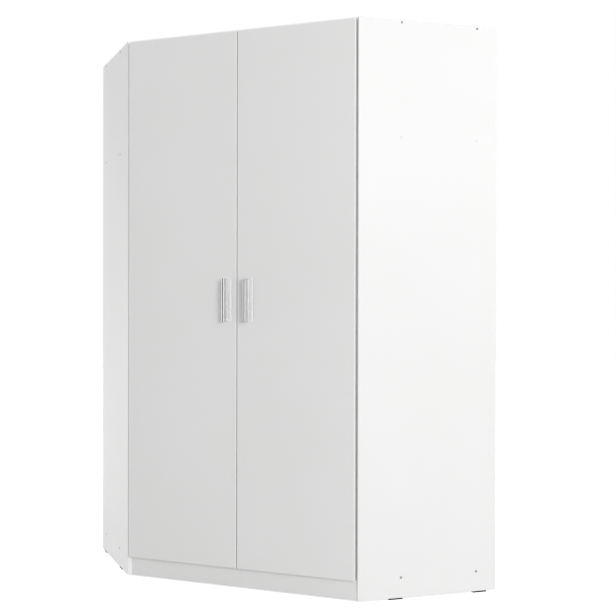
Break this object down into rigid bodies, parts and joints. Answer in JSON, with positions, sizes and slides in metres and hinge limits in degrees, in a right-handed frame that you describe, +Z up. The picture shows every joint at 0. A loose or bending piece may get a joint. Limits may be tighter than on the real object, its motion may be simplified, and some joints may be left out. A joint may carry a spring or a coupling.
{
  "type": "corner wardrobe",
  "caption": "White corner wardrobe: flush doors on concealed hinges close a diagonal front above a plinth; inside are a hat shelf and clothes rails.",
  "frame": {"origin": "centre of the square footprint on the floor", "axes": "+Z up; the room corner lies at +X +Y, the left wing runs along +Y's wall, the right wing along +X's wall, and the doors face -X -Y"},
  "size_m": [1.17, 1.17, 1.97],
  "materials": {
    "white_board": "white melamine faced chipboard",
    "hardboard": "raw hardboard outside, white inside",
    "white_plastic": "matt",
    "dark_screws": "dark zinc screw heads, in the visual model",
    "black_plastic": "matt",
    "zinc_steel": "zinc plated",
    "chrome_tube": "polished",
    "grey_plastic": "satin",
    "aluminium": "satin anodised",
    "nickel_steel": "nickel plated",
    "clear_rubber": "soft, clear door bumpers, in the visual model"
  },
  "bodies": {
    "carcass": {"left_side_panel": "white_board", "right_side_panel": "white_board", "bottom_panel": "white_board", "hat_shelf": "white_board", "top_panel": "white_board", "corner_board": "white_board", "corner_blocks": "white_plastic", "plinth_board": "white_board", "plinth_brackets": "zinc_steel", "left_outer_back_sheet": "hardboard", "right_outer_back_sheet": "hardboard", "left_inner_back_sheet": "hardboard", "right_inner_back_sheet": "hardboard", "left_back_joint_strip": "white_plastic", "right_back_joint_strip": "white_plastic", "left_wall_bracket": "zinc_steel", "right_wall_bracket": "zinc_steel", "floor_glides": "black_plastic", "left_rail": "chrome_tube", "right_rail": "chrome_tube", "rail_sockets": "grey_plastic", "rail_caps": "grey_plastic", "rail_hangers": "grey_plastic", "left_hinge_arms": "nickel_steel", "right_hinge_arms": "nickel_steel", "left_hinge_plates": "nickel_steel", "right_hinge_plates": "nickel_steel"},
    "left_outer_links": {"left_outer_links": "nickel_steel"},
    "left_inner_links": {"left_inner_links": "nickel_steel"},
    "left_door": {"left_door_panel": "white_board", "left_handle": "aluminium", "left_hinge_cups": "nickel_steel"},
    "right_outer_links": {"right_outer_links": "nickel_steel"},
    "right_inner_links": {"right_inner_links": "nickel_steel"},
    "right_door": {"right_door_panel": "white_board", "right_handle": "aluminium", "right_hinge_cups": "nickel_steel"}
  },
  "joints": [
    {"name": "left_outer_link_turn", "type": "hinge", "parent": "carcass", "child": "left_outer_links", "pos_m": [-0.54653, 0.04265, 1.018], "axis": [0, 0, -1], "range_deg": [-33, 0]},
    {"name": "left_door_swing", "type": "hinge", "parent": "left_outer_links", "child": "left_door", "pos_m": [-0.56852, 0.05545, 1.018], "axis": [0, 0, -1], "range_deg": [0, 125.7]},
    {"name": "left_inner_link_turn", "type": "hinge", "parent": "carcass", "child": "left_inner_links", "pos_m": [-0.56287, 0.04258, 1.018], "axis": [0, 0, -1], "range_deg": [-52.5, 0]},
    {"name": "right_outer_link_turn", "type": "hinge", "parent": "carcass", "child": "right_outer_links", "pos_m": [0.04265, -0.54653, 1.018], "axis": [0, 0, 1], "range_deg": [-33, 0]},
    {"name": "right_door_swing", "type": "hinge", "parent": "right_outer_links", "child": "right_door", "pos_m": [0.05545, -0.56852, 1.018], "axis": [0, 0, 1], "range_deg": [0, 125.7]},
    {"name": "right_inner_link_turn", "type": "hinge", "parent": "carcass", "child": "right_inner_links", "pos_m": [0.04258, -0.56287, 1.018], "axis": [0, 0, 1], "range_deg": [-52.5, 0]}
  ],
  "couplings": [
    {"joint": "left_outer_link_turn", "follows": "left_door_swing", "ratio": -0.26},
    {"joint": "left_inner_link_turn", "follows": "left_door_swing", "ratio": -0.415},
    {"joint": "right_outer_link_turn", "follows": "right_door_swing", "ratio": -0.26},
    {"joint": "right_inner_link_turn", "follows": "right_door_swing", "ratio": -0.415}
  ]
}
